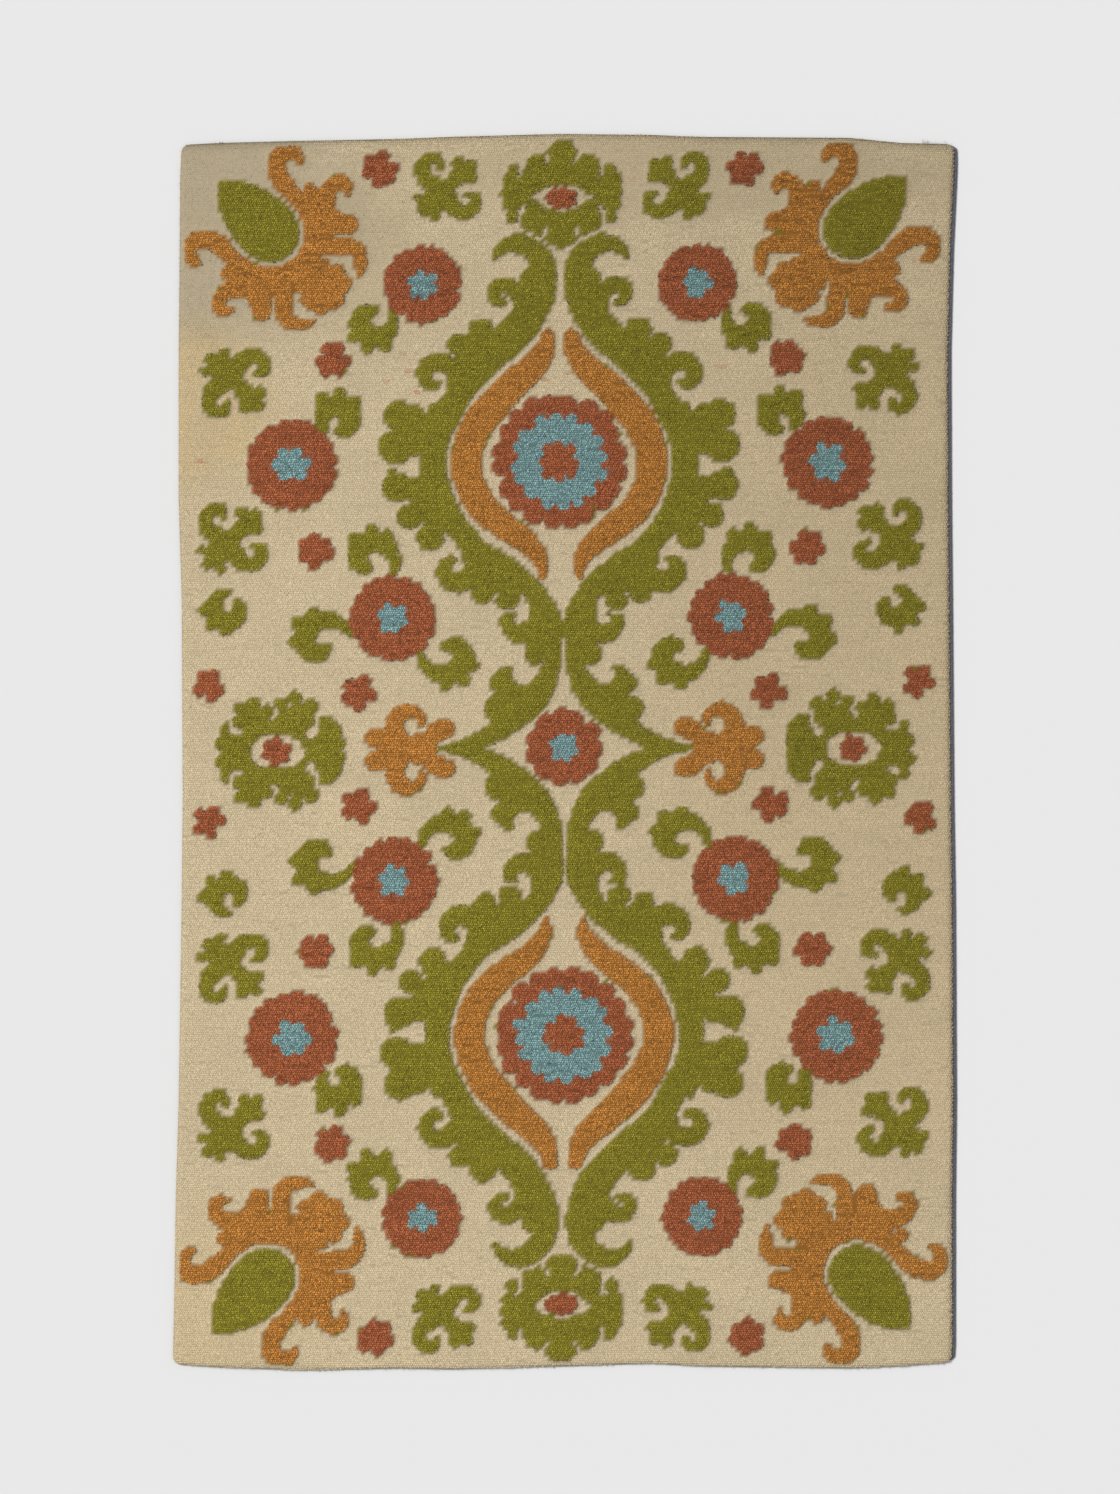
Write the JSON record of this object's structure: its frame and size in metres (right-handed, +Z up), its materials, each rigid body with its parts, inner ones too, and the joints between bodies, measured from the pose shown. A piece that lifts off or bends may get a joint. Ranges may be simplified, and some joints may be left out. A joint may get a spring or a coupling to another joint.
{
  "type": "tufted wool rug",
  "caption": "Rectangular tufted wool rug lying flat: sand-coloured pile with raised hooked leaves, rosettes and florets in green, orange and rust, on a dark backing cloth.",
  "frame": {"origin": "middle of the rug's bounding box on the floor, under the backing cloth", "axes": "+Y along the rug's length towards its top end in the picture, +X to its right side, +Z up out of the pile"},
  "size_m": [1.5703, 2.4726, 0.0126],
  "materials": {
    "tufted_pile": "cut wool pile, matt, with raised ornament in green, orange, rust and grey-blue",
    "backing_cloth": "plain woven dark cotton cloth, matt"
  },
  "bodies": {
    "root": {"tufted_pile": "tufted_pile", "backing_cloth": "backing_cloth"}
  },
  "joints": []
}
